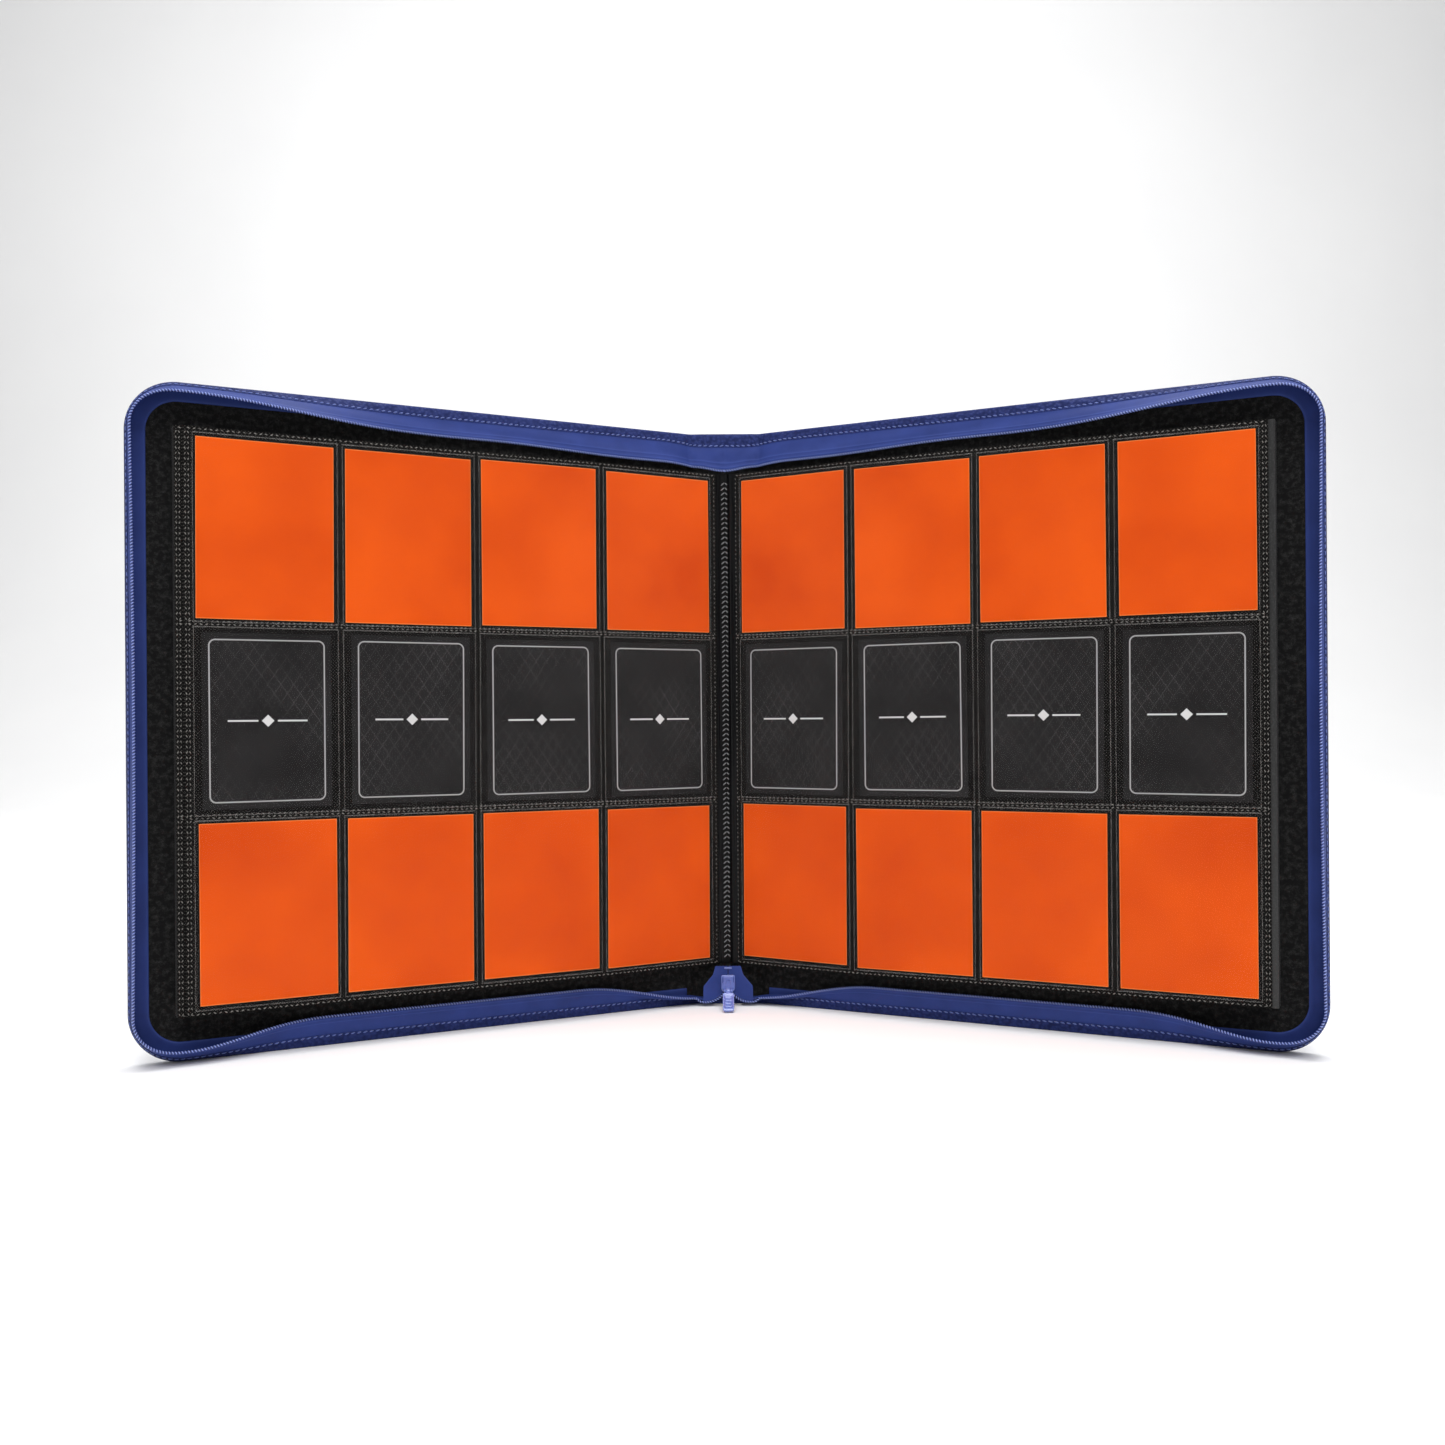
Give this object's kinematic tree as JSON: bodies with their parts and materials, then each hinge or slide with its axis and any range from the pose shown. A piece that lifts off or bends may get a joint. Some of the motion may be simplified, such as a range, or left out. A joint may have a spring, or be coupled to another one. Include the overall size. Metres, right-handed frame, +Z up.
{
  "type": "trading card binder",
  "caption": "Zip-round card binder standing open: padded leatherette covers with zip walls, hinged pocket leaves with cards, and a zip slider with a pull tab",
  "frame": {"origin": "centre of the object's box on the surface it stands on, with the covers at rest", "axes": "+X across the two covers, +Y from the open side towards the spine, +Z up along the spine"},
  "size_m": [0.5904, 0.158, 0.336],
  "materials": {
    "leatherette": "pebble-grained royal blue leatherette, satin",
    "board": "plain grey-brown board, hidden inside the panels",
    "felt": "matt black felt",
    "zip_tape": "smooth royal blue woven tape, slight sheen",
    "zip_teeth": "light blue nylon coil",
    "seam_thread": "light blue sewing thread",
    "binding_thread": "grey-black thread",
    "binding_strip": "smooth black strip, satin",
    "web": "black woven web with welded edges",
    "film": "clear glossy pocket film",
    "orange_card": "orange card, satin",
    "black_card": "near-black card with a thin grey border, satin",
    "slider": "royal blue enamelled zip slider, satin gloss",
    "pull_tab": "royal blue moulded pull tab, glossy"
  },
  "bodies": {
    "spine": {"spine_skin": "leatherette", "spine_board": "board", "spine_lining": "felt", "spine_gusset_top": "leatherette", "spine_gusset_bottom": "leatherette", "spine_zip_tape": "zip_tape", "spine_zip_teeth": "zip_teeth", "zip_tape_ends": "zip_tape", "zip_end_stop": "zip_teeth", "page_binding": "binding_strip", "binding_stitches": "binding_thread"},
    "left_cover": {"left_skin": "leatherette", "left_board": "board", "left_lining": "felt", "left_gusset": "leatherette", "left_zip_tape": "zip_tape", "left_zip_teeth": "zip_teeth", "left_facing": "zip_tape", "left_stitching": "seam_thread"},
    "right_cover": {"right_skin": "leatherette", "right_board": "board", "right_lining": "felt", "right_gusset": "leatherette", "right_zip_tape": "zip_tape", "right_zip_teeth": "zip_teeth", "right_facing": "zip_tape", "right_stitching": "seam_thread"},
    "left_leaves": {"left_leaf_2_web": "web", "left_leaf_2_pockets": "film", "left_leaf_2_orange_cards": "orange_card", "left_leaf_2_black_cards": "black_card", "left_leaf_3": "web", "left_leaf_4": "web", "left_leaf_5": "web", "left_leaf_6": "web", "left_leaf_7": "web", "left_leaf_8": "web", "left_leaf_9": "web", "left_leaf_10": "web"},
    "right_leaves": {"right_leaf_1_web": "web", "right_leaf_1_pockets": "film", "right_leaf_1_orange_cards": "orange_card", "right_leaf_1_black_cards": "black_card", "right_leaf_2": "web", "right_leaf_3": "web", "right_leaf_4": "web", "right_leaf_5": "web", "right_leaf_6": "web", "right_leaf_7": "web", "right_leaf_8": "web", "right_leaf_9": "web", "right_leaf_10": "web"},
    "turning_leaf": {"turning_leaf_web": "web", "turning_leaf_pockets": "film", "turning_leaf_orange_cards": "orange_card", "turning_leaf_black_cards": "black_card"},
    "slider": {"slider_body": "slider", "slider_crown": "slider"},
    "pull_tab": {"pull_tab": "pull_tab"}
  },
  "joints": [
    {"name": "left_cover_fold", "type": "hinge", "parent": "spine", "child": "left_cover", "pos_m": [-0.0215, 0.07885, 0.168], "axis": [0, 0, -1], "range_deg": [-63, 27]},
    {"name": "right_cover_fold", "type": "hinge", "parent": "spine", "child": "right_cover", "pos_m": [0.0215, 0.07885, 0.168], "axis": [0, 0, 1], "range_deg": [-63, 27]},
    {"name": "left_leaves_turn", "type": "hinge", "parent": "spine", "child": "left_leaves", "pos_m": [-0.0093, 0.07065, 0.168], "axis": [0, 0, -1], "range_deg": [-63, 27]},
    {"name": "right_leaves_turn", "type": "hinge", "parent": "spine", "child": "right_leaves", "pos_m": [0.0093, 0.07065, 0.168], "axis": [0, 0, 1], "range_deg": [-63, 27]},
    {"name": "leaf_turn", "type": "hinge", "parent": "left_leaves", "child": "turning_leaf", "pos_m": [0, 0.06965, 0.168], "axis": [0, 0, 1], "range_deg": [0, 120]},
    {"name": "slider_slide", "type": "slide", "parent": "spine", "child": "slider", "axis": [0, 0, 1], "range_m": [0, 0.0032]},
    {"name": "pull_tab_swing", "type": "hinge", "parent": "slider", "child": "pull_tab", "pos_m": [0, 0.05925, 0.0102], "axis": [-1, 0, 0], "range_deg": [-54, 75]}
  ],
  "couplings": [
    {"joint": "left_leaves_turn", "follows": "left_cover_fold", "ratio": 1},
    {"joint": "right_leaves_turn", "follows": "right_cover_fold", "ratio": 1}
  ]
}
